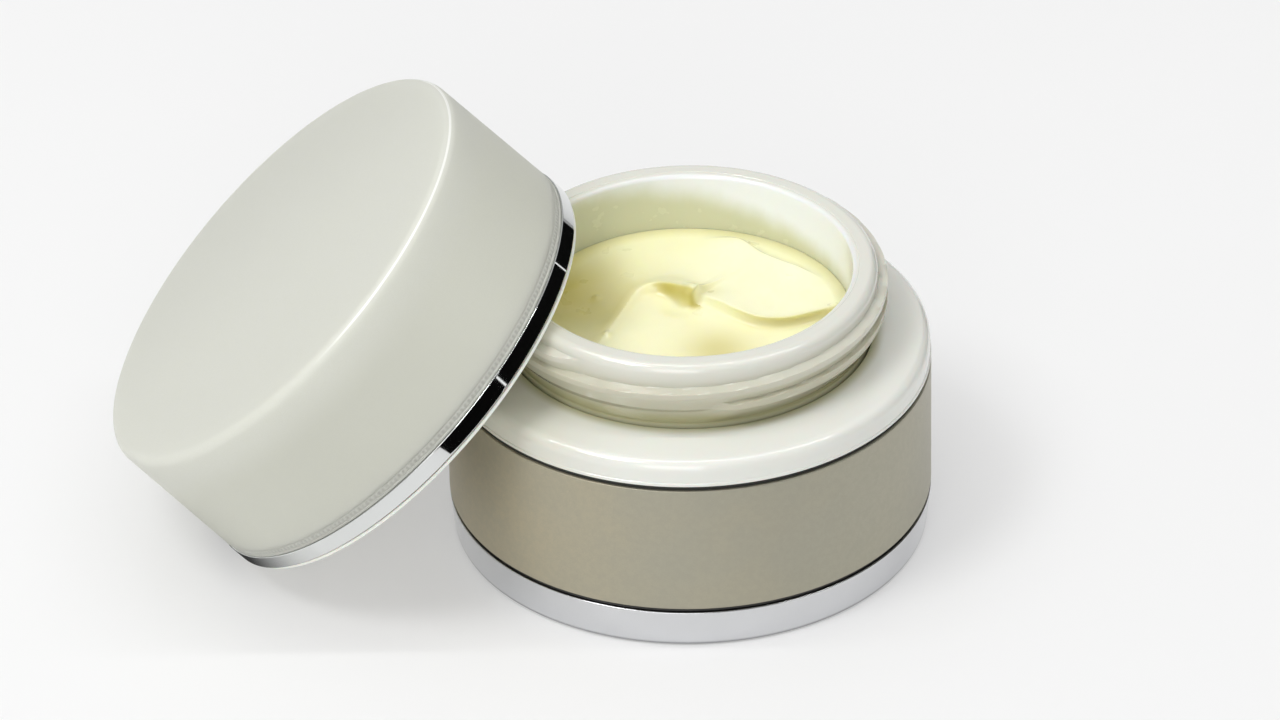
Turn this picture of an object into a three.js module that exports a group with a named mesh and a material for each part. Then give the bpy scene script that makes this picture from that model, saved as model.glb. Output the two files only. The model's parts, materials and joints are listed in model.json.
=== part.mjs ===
/**
 * Open cosmetic cream jar with its screw lid leaning against it. Millimetres, +Z up.
 *
 * The jar stands upright on z = 0 with its axis on the Z axis. It is a double-wall jar: a white inner cup
 * with a threaded neck hangs in a black carrier, which wears a satin metal sleeve and a white shoulder, and
 * a black base plug holds a plated base ring. The lid is a frosted overcap glued over a threaded inner cap,
 * with a plated trim ring between them and a loose liner wad inside. The lid stands on its rim on the -X
 * side and leans its open face on the jar's rim.
 */
import * as THREE from 'three';

// ---- Driving dimensions -------------------------------------------------------------------------------

const SEGMENTS = 48;                 // flats round every turned piece

// Fits
const SEAT = 0.3;                    // gap between pieces of one assembly
const SEAM = 0.1;                    // gap between faces stacked up the jar's outside
const THREAD_PLAY = 0.3;             // radial play between the neck and the inner cap
const LEAN_GAP = 0.3;                // gap left where the lid leans on the jar

// Jar body
const JAR_RADIUS = 33.0;             // outside of the metal sleeve
const SLEEVE_WALL = 0.6;
const SLEEVE_HEIGHT = 18.9;
const METAL_ROUND = 0.3;             // radius broken off the edges of the plated rings
const SLEEVE_HEM = 0.2;              // the same on the thin sleeve
const CARRIER_WALL = 2.0;
const HAIRLINE = 0.6;                // height of the black lip between sleeve and shoulder
const HAIRLINE_DEPTH = 0.35;         // how far that lip stands back from the sleeve's face

// Base
const BASE_HEIGHT = 5.5;             // plated ring
const BASE_TAPER = 0.6;              // how much the ring narrows towards the table
const BASE_WALL = 3.0;
const PLUG_LIP = 0.5;                // black lip between ring and sleeve
const PLUG_FLOOR = 1.8;
const PLUG_WALL = 1.6;

// Shoulder
const SHOULDER_BAND = 2.2;           // upright edge of the shoulder
const SHOULDER_EDGE = 1.4;           // radius of its rounded edge
const SHOULDER_RISE = 0.7;           // from the rounded edge up to the neck
const SHOULDER_THICKNESS = 1.7;
const SPIGOT_DEPTH = 3.0;            // skirt of the shoulder inside the carrier

// Neck and cup
const NECK_HEIGHT = 10.1;            // from the shoulder up to the rim
const NECK_WALL = 3.4;
const NECK_UNDERCUT = 0.6;           // relief below the thread
const UNDERCUT_HEIGHT = 2.7;
const UNDERCUT_CHAMFER = 0.5;        // from the relief out to the threaded wall
const NECK_ROOT = 4.0;               // how far the neck's wall runs on down under the shoulder
const NECK_FLARE = 2.0;              // taper below that, in to the cup's wall
const CUP_DRAFT = 0.9;               // how much the cup narrows down to its floor
const CUP_WALL = 2.0;
const CUP_FLOOR_Z = 4.4;             // inside floor of the cup above the table
const CUP_CORNER = 6.0;
const CUP_FLOOR = 1.5;
const RIM_ROUND = 1.4;               // outer edge of the mouth
const MOUTH_ROUND = 0.9;             // inner edge of the mouth

// Thread, shared by the neck and the inner cap
const THREAD_STARTS = 2;
const THREAD_LEAD = 4.5;             // climb of one ridge in a full turn
const THREAD_DEPTH = 1.3;
const THREAD_TURNS = 0.9;            // length of one ridge
const THREAD_ROOT = 1.9;             // width of the ridge at the wall
const THREAD_CREST = 1.1;            // width of its flat crest
const THREAD_TOP = 1.35;             // from the rim down to a ridge's upper end
const THREAD_END = 57;               // degrees from +X, anticlockwise, to the first ridge's upper end
const THREAD_FADE = 8;               // a ridge rises and fades over this fraction of a turn
const THREAD_ROW = 0.45;             // spacing of the points up a threaded wall
const THREAD_BELOW_LINER = 0.5;      // from the liner down to the cap ridge's upper end

// Cream
const FILL_DEPTH = 8.6;              // from the rim down to the cream at the wall
const CREAM_CROWN = 2.0;             // how much higher the cream stands in the middle

// Lid
const LID_OVERHANG = 0.2;            // trim ring stands out past the sleeve
const RING_HEIGHT = 2.3;
const RING_PLAY = 0.55;              // trim ring round the inner cap
const FLANGE_HEIGHT = 0.5;           // inner cap's edge that shows below the trim ring
const FLANGE_STEP = 0.4;             // that edge stands back from the trim ring
const OVERCAP_STEP = 0.15;           // overcap stands back from the trim ring
const OVERCAP_HEIGHT = 21.2;         // from the trim ring up to the crown's edge
const OVERCAP_DRAFT = 0.25;
const OVERCAP_WALL = 2.1;
const CROWN_THICKNESS = 5.4;
const CROWN_EDGE = 1.5;              // radius of the crown's rounded edge
const CROWN_RISE = 0.45;
const CEILING_CHAMFER = 1.0;         // between the crown's underside and the overcap's wall
const INNER_CAP_WALL = 1.5;
const INNER_CAP_TOP = 1.6;
const KNURL_HEIGHT = 6.0;            // ribbed band that the overcap is glued to
const KNURL_WALL = 1.75;
const KNURL_CHAMFER = 1.0;
const MOUTH_RELIEF = 2.5;            // counterbore at the lid's open end, wider than the thread
const MOUTH_RELIEF_DEPTH = 0.6;      // above the trim ring's edge, before it tapers to the thread
const POST_RADIUS = 18.0;            // ring on top of the inner cap that carries the crown
const POST_WALL = 1.4;
const LINER_THICKNESS = 1.2;
const CLOSED_GAP = 0.4;              // lid to shoulder when the lid is screwed down
const LEAN_ANGLE = 43.65;            // lid's axis from upright, degrees

// ---- Derived levels and radii -------------------------------------------------------------------------

const LEAN = THREE.MathUtils.degToRad(LEAN_ANGLE);

const plugLipZ = BASE_HEIGHT + SEAM;
const sleeveZ = plugLipZ + PLUG_LIP + SEAM;
const sleeveTopZ = sleeveZ + SLEEVE_HEIGHT;
const carrierTopZ = sleeveTopZ + SEAM + HAIRLINE;
const shoulderZ = carrierTopZ + SEAM;
const shoulderTopZ = shoulderZ + SHOULDER_BAND + SHOULDER_EDGE + SHOULDER_RISE;
const rimZ = shoulderTopZ + NECK_HEIGHT;

const sleeveInner = JAR_RADIUS - SLEEVE_WALL;
const carrierOuter = sleeveInner - SEAT;
const carrierInner = carrierOuter - CARRIER_WALL;
const lipRadius = JAR_RADIUS - HAIRLINE_DEPTH;
const baseInner = JAR_RADIUS - BASE_TAPER - BASE_WALL;
const plugOuter = baseInner - SEAT;

// From the lid's outside in to the jar's mouth, every wall and play in turn
const lidRadius = JAR_RADIUS + LID_OVERHANG;
const flangeRadius = lidRadius - FLANGE_STEP;
const overcapRadius = lidRadius - OVERCAP_STEP;
const overcapBore = overcapRadius - OVERCAP_WALL;
const knurlRadius = overcapBore - SEAT;
const capRadius = knurlRadius - KNURL_WALL;
const capBore = capRadius - INNER_CAP_WALL;
const reliefRadius = capBore + MOUTH_RELIEF;
const threadCrest = capBore - THREAD_PLAY;
const neckRadius = threadCrest - THREAD_DEPTH;
const undercutRadius = neckRadius - NECK_UNDERCUT;
const collarBore = undercutRadius + SEAT;
const mouthRadius = neckRadius - NECK_WALL;

const threadTopZ = rimZ - THREAD_TOP;
const linerZ = NECK_HEIGHT - CLOSED_GAP - FLANGE_HEIGHT - SEAT;
const capTopZ = linerZ + LINER_THICKNESS + SEAT;
const capRoofZ = capTopZ + INNER_CAP_TOP;
const overcapZ = RING_HEIGHT + SEAT;
const crownZ = RING_HEIGHT + OVERCAP_HEIGHT;
const ceilingZ = crownZ - CROWN_THICKNESS;

// ---- Shape helpers ------------------------------------------------------------------------------------

const point = (radius, z) => new THREE.Vector2(radius, z);

/** Points of a quarter-round from angle `from` to `to` (degrees) about (radius, z). */
function arc(radius, z, size, from, to, steps = 3) {
  return Array.from({ length: steps + 1 }, (_, i) => {
    const angle = THREE.MathUtils.degToRad(from + (to - from) * i / steps);
    return point(radius + size * Math.cos(angle), z + size * Math.sin(angle));
  });
}

/** Turns a profile, given anticlockwise seen with the axis on the left, round the Z axis. */
function turned(profile) {
  const onAxis = profile[0].x === 0 && profile.at(-1).x === 0;
  const outline = onAxis ? profile : [...profile, profile[0].clone()];
  return new THREE.LatheGeometry(outline, SEGMENTS).rotateX(Math.PI / 2);
}

/** Points up or down a straight wall, no more than `spacing` apart. */
function rows(radius, from, to, spacing) {
  const count = Math.ceil(Math.abs(to - from) / spacing);
  return Array.from({ length: count + 1 }, (_, i) => point(radius, from + (to - from) * i / count));
}

/** Height of the thread's ridges over the wall, at an angle and a level below the ridges' upper end. */
function ridgeHeight(angle, below) {
  let height = 0;
  for (let start = 0; start < THREAD_STARTS; start += 1) {
    const turns = THREAD_END / 360 + start / THREAD_STARTS - angle / (2 * Math.PI);
    for (let left = turns - Math.floor(turns); left < THREAD_TURNS; left += 1) {
      const off = Math.abs(below - THREAD_ROOT / 2 - THREAD_LEAD * left);
      const flank = (THREAD_ROOT / 2 - off) / ((THREAD_ROOT - THREAD_CREST) / 2);
      const fade = Math.min(1, THREAD_FADE * left, THREAD_FADE * (THREAD_TURNS - left));
      height = Math.max(height, THREAD_DEPTH * fade * THREE.MathUtils.clamp(flank, 0, 1));
    }
  }
  return height;
}

/** Raises the helical ridges on a turned piece's wall: outward on the neck, inward (-1) in the cap. */
function threaded(geometry, wall, top, outward) {
  const position = geometry.attributes.position;
  for (let i = 0; i < position.count; i += 1) {
    const [x, y, z] = [position.getX(i), position.getY(i), position.getZ(i)];
    const radius = Math.hypot(x, y);
    if (Math.abs(radius - wall) < 1e-4) {
      const grown = 1 + outward * ridgeHeight(Math.atan2(y, x), top - z) / radius;
      position.setXYZ(i, x * grown, y * grown, z);
    }
  }
  return geometry;
}

function piece(name, geometry, color, roughness, metalness) {
  const material = new THREE.MeshStandardMaterial({ color, roughness, metalness });
  const mesh = new THREE.Mesh(geometry, material);
  mesh.name = name;
  return mesh;
}

// ---- Jar ----------------------------------------------------------------------------------------------

/** Closes the jar from below. Its flat underside is what the jar stands on, and its lip is the lower hairline. */
function basePlug() {
  const geometry = turned([
    point(0, 0),
    point(plugOuter, 0),
    point(plugOuter, plugLipZ),
    point(lipRadius, plugLipZ),
    point(lipRadius, plugLipZ + PLUG_LIP),
    point(plugOuter - PLUG_WALL, plugLipZ + PLUG_LIP),
    point(plugOuter - PLUG_WALL, PLUG_FLOOR),
    point(0, PLUG_FLOOR),
  ]);
  return piece('base_plug', geometry, 0x1b1a17, 0.5, 0.0);
}

/** Plated foot ring, a little narrower at the table. */
function baseRing() {
  const foot = JAR_RADIUS - BASE_TAPER;
  const geometry = turned([
    point(baseInner, 0),
    point(foot - METAL_ROUND, 0),
    point(foot, METAL_ROUND),
    point(JAR_RADIUS, BASE_HEIGHT - METAL_ROUND),
    point(JAR_RADIUS - METAL_ROUND, BASE_HEIGHT),
    point(baseInner, BASE_HEIGHT),
  ]);
  return piece('base_ring', geometry, 0xd9dbe0, 0.12, 1.0);
}

/** Black tube that the sleeve is pushed on. Its top lip is the upper hairline. */
function carrier() {
  const geometry = turned([
    point(carrierInner, sleeveZ),
    point(carrierOuter, sleeveZ),
    point(carrierOuter, sleeveTopZ + SEAM),
    point(lipRadius, sleeveTopZ + SEAM),
    point(lipRadius, carrierTopZ),
    point(carrierInner, carrierTopZ),
  ]);
  return piece('carrier', geometry, 0x14130f, 0.45, 0.0);
}

/** Satin skin of the jar, its two edges rolled slightly. */
function metalSleeve() {
  const geometry = turned([
    point(sleeveInner, sleeveZ),
    point(JAR_RADIUS - SLEEVE_HEM, sleeveZ),
    point(JAR_RADIUS, sleeveZ + SLEEVE_HEM),
    point(JAR_RADIUS, sleeveTopZ - SLEEVE_HEM),
    point(JAR_RADIUS - SLEEVE_HEM, sleeveTopZ),
    point(sleeveInner, sleeveTopZ),
  ]);
  return piece('metal_sleeve', geometry, 0xa6a292, 0.42, 0.9);
}

/** White ring that covers the space between the neck and the sleeve. */
function shoulderCollar() {
  const edgeZ = shoulderZ + SHOULDER_BAND;
  const edgeRadius = JAR_RADIUS - SHOULDER_EDGE;
  const spigot = carrierInner - SEAT;
  const geometry = turned([
    point(spigot - SHOULDER_THICKNESS, shoulderZ - SPIGOT_DEPTH),
    point(spigot, shoulderZ - SPIGOT_DEPTH),
    point(spigot, shoulderZ),
    point(JAR_RADIUS, shoulderZ),
    ...arc(edgeRadius, edgeZ, SHOULDER_EDGE, 0, 85, 4),
    point(collarBore, shoulderTopZ),
    point(collarBore, shoulderTopZ - SHOULDER_THICKNESS),
    point(spigot - SHOULDER_THICKNESS, edgeZ + SHOULDER_EDGE - SHOULDER_THICKNESS),
  ]);
  return piece('shoulder_collar', geometry, 0xe9eae4, 0.22, 0.0);
}

/** White cup that holds the cream, with the neck, its rounded rim and its thread. */
function innerCup() {
  const floorRadius = mouthRadius - CUP_DRAFT;
  const reliefZ = shoulderTopZ + UNDERCUT_HEIGHT;
  const cupOuter = mouthRadius + CUP_WALL;
  const footRadius = floorRadius + CUP_WALL;
  const footZ = CUP_FLOOR_Z - CUP_FLOOR;
  const shape = turned([
    point(0, footZ),
    ...arc(footRadius - CUP_CORNER, footZ + CUP_CORNER, CUP_CORNER, -90, 0, 4),
    point(cupOuter, shoulderTopZ - NECK_ROOT - NECK_FLARE),
    point(undercutRadius, shoulderTopZ - NECK_ROOT),
    point(undercutRadius, reliefZ - UNDERCUT_CHAMFER),
    ...rows(neckRadius, reliefZ, rimZ - RIM_ROUND, THREAD_ROW),
    ...arc(neckRadius - RIM_ROUND, rimZ - RIM_ROUND, RIM_ROUND, 20, 90, 4),
    ...arc(mouthRadius + MOUTH_ROUND, rimZ - MOUTH_ROUND, MOUTH_ROUND, 90, 180, 2),
    ...arc(floorRadius - CUP_CORNER, CUP_FLOOR_Z + CUP_CORNER, CUP_CORNER, 0, -90, 4),
    point(0, CUP_FLOOR_Z),
  ]);
  return piece('inner_cup', threaded(shape, neckRadius, threadTopZ, 1), 0xf1f2ec, 0.2, 0.0);
}

/** Cream in the cup, with a plain crowned top. */
function cream() {
  const fillZ = rimZ - FILL_DEPTH;
  const wallZ = CUP_FLOOR_Z + CUP_CORNER;
  const drift = CUP_DRAFT * (fillZ - wallZ) / (rimZ - wallZ);
  const floorRadius = mouthRadius - CUP_DRAFT - SEAT;
  const corner = CUP_CORNER - SEAT;
  const top = [0.75, 0.5, 0.25, 0].map((share) => point(
    (floorRadius + drift) * share,
    fillZ + CREAM_CROWN * (1 - share * share),
  ));
  const geometry = turned([
    point(0, CUP_FLOOR_Z + SEAT),
    ...arc(floorRadius - corner, CUP_FLOOR_Z + SEAT + corner, corner, -90, 0, 4),
    point(floorRadius + drift, fillZ),
    ...top,
  ]);
  return piece('cream', geometry, 0xf6f2c4, 0.35, 0.0);
}

// ---- Lid, with its open edge at z = 0 and its crown up ------------------------------------------------

/** Mirror-plated ring between the overcap and the inner cap's flange. */
function trimRing() {
  const bore = knurlRadius + RING_PLAY;
  const geometry = turned([
    point(bore, 0),
    point(lidRadius - METAL_ROUND, 0),
    point(lidRadius, METAL_ROUND),
    point(lidRadius, RING_HEIGHT - METAL_ROUND),
    point(lidRadius - METAL_ROUND, RING_HEIGHT),
    point(bore, RING_HEIGHT),
  ]);
  return piece('trim_ring', geometry, 0xd4d5d8, 0.06, 1.0);
}

/** Frosted outer shell with a thick, slightly crowned top. */
function overcap() {
  const topRadius = overcapRadius - OVERCAP_DRAFT;
  const geometry = turned([
    point(overcapBore, overcapZ),
    point(overcapRadius, overcapZ),
    ...arc(topRadius - CROWN_EDGE, crownZ - CROWN_EDGE, CROWN_EDGE, 0, 88, 4),
    point(topRadius / 2, crownZ + 0.75 * CROWN_RISE),
    point(0, crownZ + CROWN_RISE),
    point(0, ceilingZ),
    point(overcapBore - OVERCAP_DRAFT - CEILING_CHAMFER, ceilingZ),
    point(overcapBore - OVERCAP_DRAFT, ceilingZ - CEILING_CHAMFER),
  ]);
  return piece('overcap', geometry, 0xd3d3cb, 0.55, 0.0);
}

/** Threaded cap inside the overcap. Its flange shows as a pale edge below the trim ring. */
function innerCap() {
  const postTop = ceilingZ - SEAT;
  const threadTop = linerZ - THREAD_BELOW_LINER;
  const shell = turned([
    point(0, capTopZ),
    point(capBore, capTopZ),
    ...rows(capBore, threadTop, MOUTH_RELIEF_DEPTH + MOUTH_RELIEF, THREAD_ROW),
    point(reliefRadius, MOUTH_RELIEF_DEPTH),
    point(reliefRadius, -SEAT - FLANGE_HEIGHT),
    point(flangeRadius, -SEAT - FLANGE_HEIGHT),
    point(flangeRadius, -SEAT),
    point(knurlRadius, -SEAT),
    point(knurlRadius, KNURL_HEIGHT),
    point(capRadius, KNURL_HEIGHT + KNURL_CHAMFER),
    point(capRadius, capRoofZ),
    point(POST_RADIUS + POST_WALL, capRoofZ),
    point(POST_RADIUS + POST_WALL, postTop),
    point(POST_RADIUS, postTop),
    point(POST_RADIUS, capRoofZ),
    point(0, capRoofZ),
  ]);
  return piece('inner_cap', threaded(shell, capBore, threadTop, -1), 0xe2e0d2, 0.4, 0.0);
}

/** Loose foam disc that seals on the rim. */
function linerWad() {
  const geometry = turned([
    point(0, linerZ),
    point(capBore - SEAT, linerZ),
    point(capBore - SEAT, linerZ + LINER_THICKNESS),
    point(0, linerZ + LINER_THICKNESS),
  ]);
  return piece('liner_wad', geometry, 0xf4f4f0, 0.7, 0.0);
}

/** Outline of the lid's open edge and bore, as (radius, height) points in the lid's own frame. */
function lidEdge() {
  const open = -SEAT - FLANGE_HEIGHT;
  const crest = capBore - THREAD_DEPTH;
  return [
    point(0, linerZ),
    point(crest, linerZ),
    point(crest, MOUTH_RELIEF_DEPTH + MOUTH_RELIEF),
    point(reliefRadius, MOUTH_RELIEF_DEPTH),
    point(reliefRadius, open),
    point(flangeRadius, open),
    point(flangeRadius, -SEAT),
    point(lidRadius, 0),
    point(lidRadius, RING_HEIGHT),
  ];
}

/** Outline of the upright jar at an angle: radius and height pairs from the foot to the rim. */
function jarOutline(angle) {
  const neck = rows(neckRadius, shoulderTopZ + UNDERCUT_HEIGHT, threadTopZ, THREAD_ROW);
  return [
    ...rows(JAR_RADIUS, 0, shoulderZ + SHOULDER_BAND, 1),
    ...arc(JAR_RADIUS - SHOULDER_EDGE, shoulderZ + SHOULDER_BAND, SHOULDER_EDGE, 0, 90, 4),
    ...neck.map(({ x, y }) => point(x + ridgeHeight(angle, threadTopZ - y), y)),
    ...arc(neckRadius - RIM_ROUND, rimZ - RIM_ROUND, RIM_ROUND, 0, 90, 4),
  ];
}

/**
 * Where the leaning lid stands: its open edge's centre, and so its distance from the jar. The lid stands on
 * its flange, and is moved in from far out by small steps until the next step would bring the jar's outline
 * closer than LEAN_GAP to the lid's edge or bore.
 */
function lidPlace() {
  const height = Math.max(...lidEdge().map(({ x, y }) => x * Math.sin(LEAN) - y * Math.cos(LEAN)));
  const jarPoints = [];
  for (let turn = -60; turn <= 60; turn += 1.5) {
    const angle = THREE.MathUtils.degToRad(turn);
    jarPoints.push(...jarOutline(Math.PI - angle).map(({ x, y }) => [x, y, angle]));
  }
  const to3 = ({ x, y }) => new THREE.Vector3(x, y, 0);
  const edge = lidEdge().map(to3);
  const lines = edge.slice(1).map((end, i) => new THREE.Line3(edge[i], end));
  const nearest = new THREE.Vector3();
  const touches = (distance, radius, z, angle) => {
    const out = distance - radius * Math.cos(angle);
    const depth = (z - height) * Math.cos(LEAN) - out * Math.sin(LEAN);
    const along = (z - height) * Math.sin(LEAN) + out * Math.cos(LEAN);
    const seen = new THREE.Vector3(Math.hypot(along, radius * Math.sin(angle)), depth, 0);
    return lines.some((line) => line.closestPointToPoint(seen, true, nearest).distanceTo(seen) < LEAN_GAP);
  };
  const step = 0.05;
  let distance = JAR_RADIUS + lidRadius;
  while (!jarPoints.some((outline) => touches(distance - step, ...outline))) distance -= step;
  return new THREE.Vector3(-distance, 0, height);
}

// ---- Assembly -----------------------------------------------------------------------------------------

const jar = new THREE.Group();
jar.add(basePlug(), baseRing(), carrier(), metalSleeve(), shoulderCollar(), innerCup(), cream());

const lid = new THREE.Group();
lid.add(overcap(), trimRing(), innerCap(), linerWad());
lid.rotation.y = -LEAN;
lid.position.copy(lidPlace());

const creamJar = new THREE.Group();
creamJar.add(jar, lid);

export default creamJar;
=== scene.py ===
import json
import math

import bpy
import numpy as np
from bpy.props import FloatProperty, FloatVectorProperty, IntProperty, PointerProperty
from mathutils import Matrix, Vector


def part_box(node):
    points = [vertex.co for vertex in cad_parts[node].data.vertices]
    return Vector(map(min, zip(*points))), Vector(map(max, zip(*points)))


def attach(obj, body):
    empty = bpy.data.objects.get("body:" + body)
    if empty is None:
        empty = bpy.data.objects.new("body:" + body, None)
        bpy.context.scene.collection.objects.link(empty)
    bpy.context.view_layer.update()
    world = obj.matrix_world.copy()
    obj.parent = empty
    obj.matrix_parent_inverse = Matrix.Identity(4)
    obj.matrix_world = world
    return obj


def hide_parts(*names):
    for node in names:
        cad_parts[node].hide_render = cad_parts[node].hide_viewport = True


bl_info = {
    "name": "Cream Jar",
    "version": (1, 0, 0),
    "blender": (4, 5, 0),
    "location": "3D View > Sidebar > Cream Jar",
    "description": "Open cream jar with its frosted screw lid leaning on the rim",
    "category": "Add Mesh",
}

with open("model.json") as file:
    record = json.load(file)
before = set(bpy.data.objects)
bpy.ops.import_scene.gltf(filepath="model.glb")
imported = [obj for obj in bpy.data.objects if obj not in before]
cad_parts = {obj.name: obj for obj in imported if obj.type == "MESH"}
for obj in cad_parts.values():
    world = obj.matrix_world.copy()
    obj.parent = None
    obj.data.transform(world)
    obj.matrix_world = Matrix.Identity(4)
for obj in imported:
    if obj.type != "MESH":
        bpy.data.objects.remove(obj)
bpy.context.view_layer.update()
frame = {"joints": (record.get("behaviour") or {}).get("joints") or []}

MM = 0.001
EDGE = 0.2 * MM  # round of a plain moulded edge
CRISP = 0.12 * MM  # round of a visible sharp edge
JAR = "jar"
LID = "lid"
LINER = "liner"

BASE_LOW, BASE_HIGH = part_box("base_ring")
PLUG_LOW, PLUG_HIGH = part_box("base_plug")
CARRIER_LOW, CARRIER_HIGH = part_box("carrier")
SLEEVE_LOW, SLEEVE_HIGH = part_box("metal_sleeve")
SHOULDER_LOW, SHOULDER_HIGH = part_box("shoulder_collar")
CUP_LOW, CUP_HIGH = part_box("inner_cup")

LID_HINGE = next(joint for joint in frame["joints"] if joint["name"] == "lid_turn")
LID_PLACE = Vector(LID_HINGE["pos_m"])
LID_AXIS = Vector(LID_HINGE["axis"]).normalized()
LID_LEAN = math.atan2(LID_AXIS.x, LID_AXIS.z)


# ---- Sizes and colours ------------------------------------------------------------------------


def size(name, description, millimetres):
    """A length that a user may change, given in millimetres and kept in metres."""
    length = millimetres * MM
    return FloatProperty(name=name, description=description, default=length, unit="LENGTH", precision=5)


def angle(name, description, degrees):
    """An angle that a user may change, given in degrees and kept in radians."""
    return FloatProperty(name=name, description=description, default=math.radians(degrees), subtype="ANGLE")


def tone(red, green, blue):
    """A display colour from 0 to 255 as the linear values that a shader takes."""
    share = np.array([red, green, blue]) / 255
    return tuple(np.where(share <= 0.04045, share / 12.92, ((share + 0.055) / 1.055) ** 2.4))


def colour(name, description, display):
    """A colour that a user may change, given as display values."""
    return FloatVectorProperty(
        name=name, description=description, default=tone(*display), subtype="COLOR", size=3, min=0, max=1
    )


class JarSizes(bpy.types.PropertyGroup):
    radius: size("Sleeve radius", "Outside of the metal sleeve", SLEEVE_HIGH.x / MM)
    base_taper: size("Base taper", "How much the plated ring narrows to the table", 0.6)
    base_wall: size("Base wall", "Thickness of the plated ring", 3.0)
    plug_wall: size("Plug wall", "Wall of the base plug", 1.6)
    plug_floor: size("Plug floor", "Floor of the base plug", 1.8)
    groove_radius: size("Groove radius", "Fine moulded groove under the base", 22.0)
    groove_depth: size("Groove depth", "Depth of that groove", 0.25)
    lip_radius: size("Lip radius", "Black lips between the outside pieces", PLUG_HIGH.x / MM)
    lip_height: size("Lip height", "Height of each black lip", 0.6)
    carrier_wall: size("Carrier wall", "Wall of the black tube under the sleeve", 2.0)
    sleeve_wall: size("Sleeve wall", "Thickness of the metal sleeve", 0.6)
    sleeve_hem: size("Sleeve hem", "Rolled edge of the metal sleeve", 0.14)
    bead_height: size("Shoulder bead", "Fine bead along the foot of the shoulder", 0.42)
    bead_step: size("Bead step", "How far the shoulder stands back from its bead", 0.13)
    shoulder_edge: size("Shoulder edge", "Round of the shoulder's outer edge", 1.5)
    shoulder_rise: size("Shoulder rise", "From the rounded edge up to the neck", 0.75)
    shoulder_wall: size("Shoulder wall", "Thickness of the shoulder", 1.7)
    fit: size("Fit", "Gap between pieces of one assembly", 0.3)


class CupSizes(bpy.types.PropertyGroup):
    neck_radius: size("Neck radius", "Wall that the thread stands on", 25.8)
    undercut: size("Undercut", "Relief below the thread", 0.9)
    undercut_height: size("Undercut height", "Height of that relief", 2.5)
    mouth_radius: size("Mouth radius", "Inside of the cup at the rim", 22.4)
    rim_round: size("Rim round", "Outer round of the rim", 1.3)
    mouth_round: size("Mouth round", "Inner round of the rim", 0.9)
    draft: size("Cup draft", "How much the cup narrows to its floor", 0.9)
    wall: size("Cup wall", "Wall of the cup", 2.0)
    floor: size("Cup floor", "Thickness of the cup's floor", 1.5)
    corner: size("Cup corner", "Round between the floor and the wall", 6.0)
    film_low: size("Film low", "Cream film on the wall is thick up to this height above the fill", 3.4)
    film_high: size("Film high", "Cream film on the wall has gone at this height above the fill", 7.8)


class ThreadSizes(bpy.types.PropertyGroup):
    starts: IntProperty(name="Starts", description="Number of separate ridges", default=2, min=1)
    lead: size("Lead", "Climb of one ridge in a full turn", 4.5)
    depth: size("Depth", "Height of a ridge over its wall", 1.3)
    crest: size("Crest width", "Width of a ridge's crest", 0.8)
    upper_flank: size("Upper flank", "Height of a ridge's steep upper flank", 0.35)
    lower_flank: size("Lower flank", "Height of a ridge's long lower flank", 2.9)
    top: size("Top", "From the rim down to a ridge's upper end", 1.35)
    turns: FloatProperty(name="Turns", description="Length of one ridge in turns", default=0.9)
    end: angle("End", "Where the first ridge ends", 57)
    fade: FloatProperty(name="Fade", description="Share of a turn over which a ridge fades", default=0.035)


class CreamSizes(bpy.types.PropertyGroup):
    fill: size("Fill", "From the rim down to the cream at the wall", 8.8)
    crown: size("Crown", "How much higher the cream stands in the middle", 1.2)
    curl_height: size("Curl height", "Height of the curl in the middle", 3.1)
    fold_height: size("Fold height", "Height of the fold that sweeps to the right", 1.7)
    lap: size("Lap", "How far the folds lean over", 1.2)


class LidSizes(bpy.types.PropertyGroup):
    radius: size("Ring radius", "Outside of the trim ring", 33.2)
    ring_height: size("Ring height", "Height of the trim ring", 2.3)
    ring_bore: size("Ring bore", "Inside of the trim ring", 31.2)
    shell_radius: size("Shell radius", "Outside of the overcap at its open end", 33.05)
    shell_bore: size("Shell bore", "Inside of the overcap", 30.95)
    shell_height: size("Shell height", "Crown's edge above the lid's lower edge", 23.5)
    draft: size("Draft", "How much the overcap narrows to its crown", 0.25)
    crown_edge: size("Crown edge", "Round of the crown's edge", 1.3)
    crown_rise: size("Crown rise", "How much the crown's middle stands up", 0.45)
    ceiling: size("Ceiling", "Underside of the crown above the lid's lower edge", 18.1)
    band_height: size("Band height", "Height of the toothed band at the shell's foot", 1.25)
    tooth_depth: size("Tooth depth", "Relief of the band's teeth", 0.09)
    teeth: IntProperty(name="Teeth", description="Teeth round the band", default=270, min=12)
    cap_radius: size("Cap radius", "Outside of the inner cap", 28.9)
    knurl_radius: size("Knurl radius", "Band that the overcap is glued to", 30.65)
    knurl_height: size("Knurl height", "Top of that band", 6.0)
    cap_bore: size("Cap bore", "Inside of the inner cap", 27.4)
    relief_radius: size("Relief radius", "Counterbore at the open end", 29.9)
    relief_height: size("Relief height", "Where the counterbore has tapered to the thread", 3.1)
    flange_radius: size("Flange radius", "Pale edge below the trim ring", 32.8)
    flange_height: size("Flange height", "Height of that edge", 0.5)
    liner_low: size("Liner", "Underside of the liner above the lid's lower edge", 8.9)
    liner_thickness: size("Liner thickness", "Thickness of the liner", 1.2)
    roof: size("Roof", "Thickness of the inner cap's roof", 1.6)
    post_radius: size("Post radius", "Ring that carries the crown", 18.0)
    post_wall: size("Post wall", "Thickness of that ring", 1.4)


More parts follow.
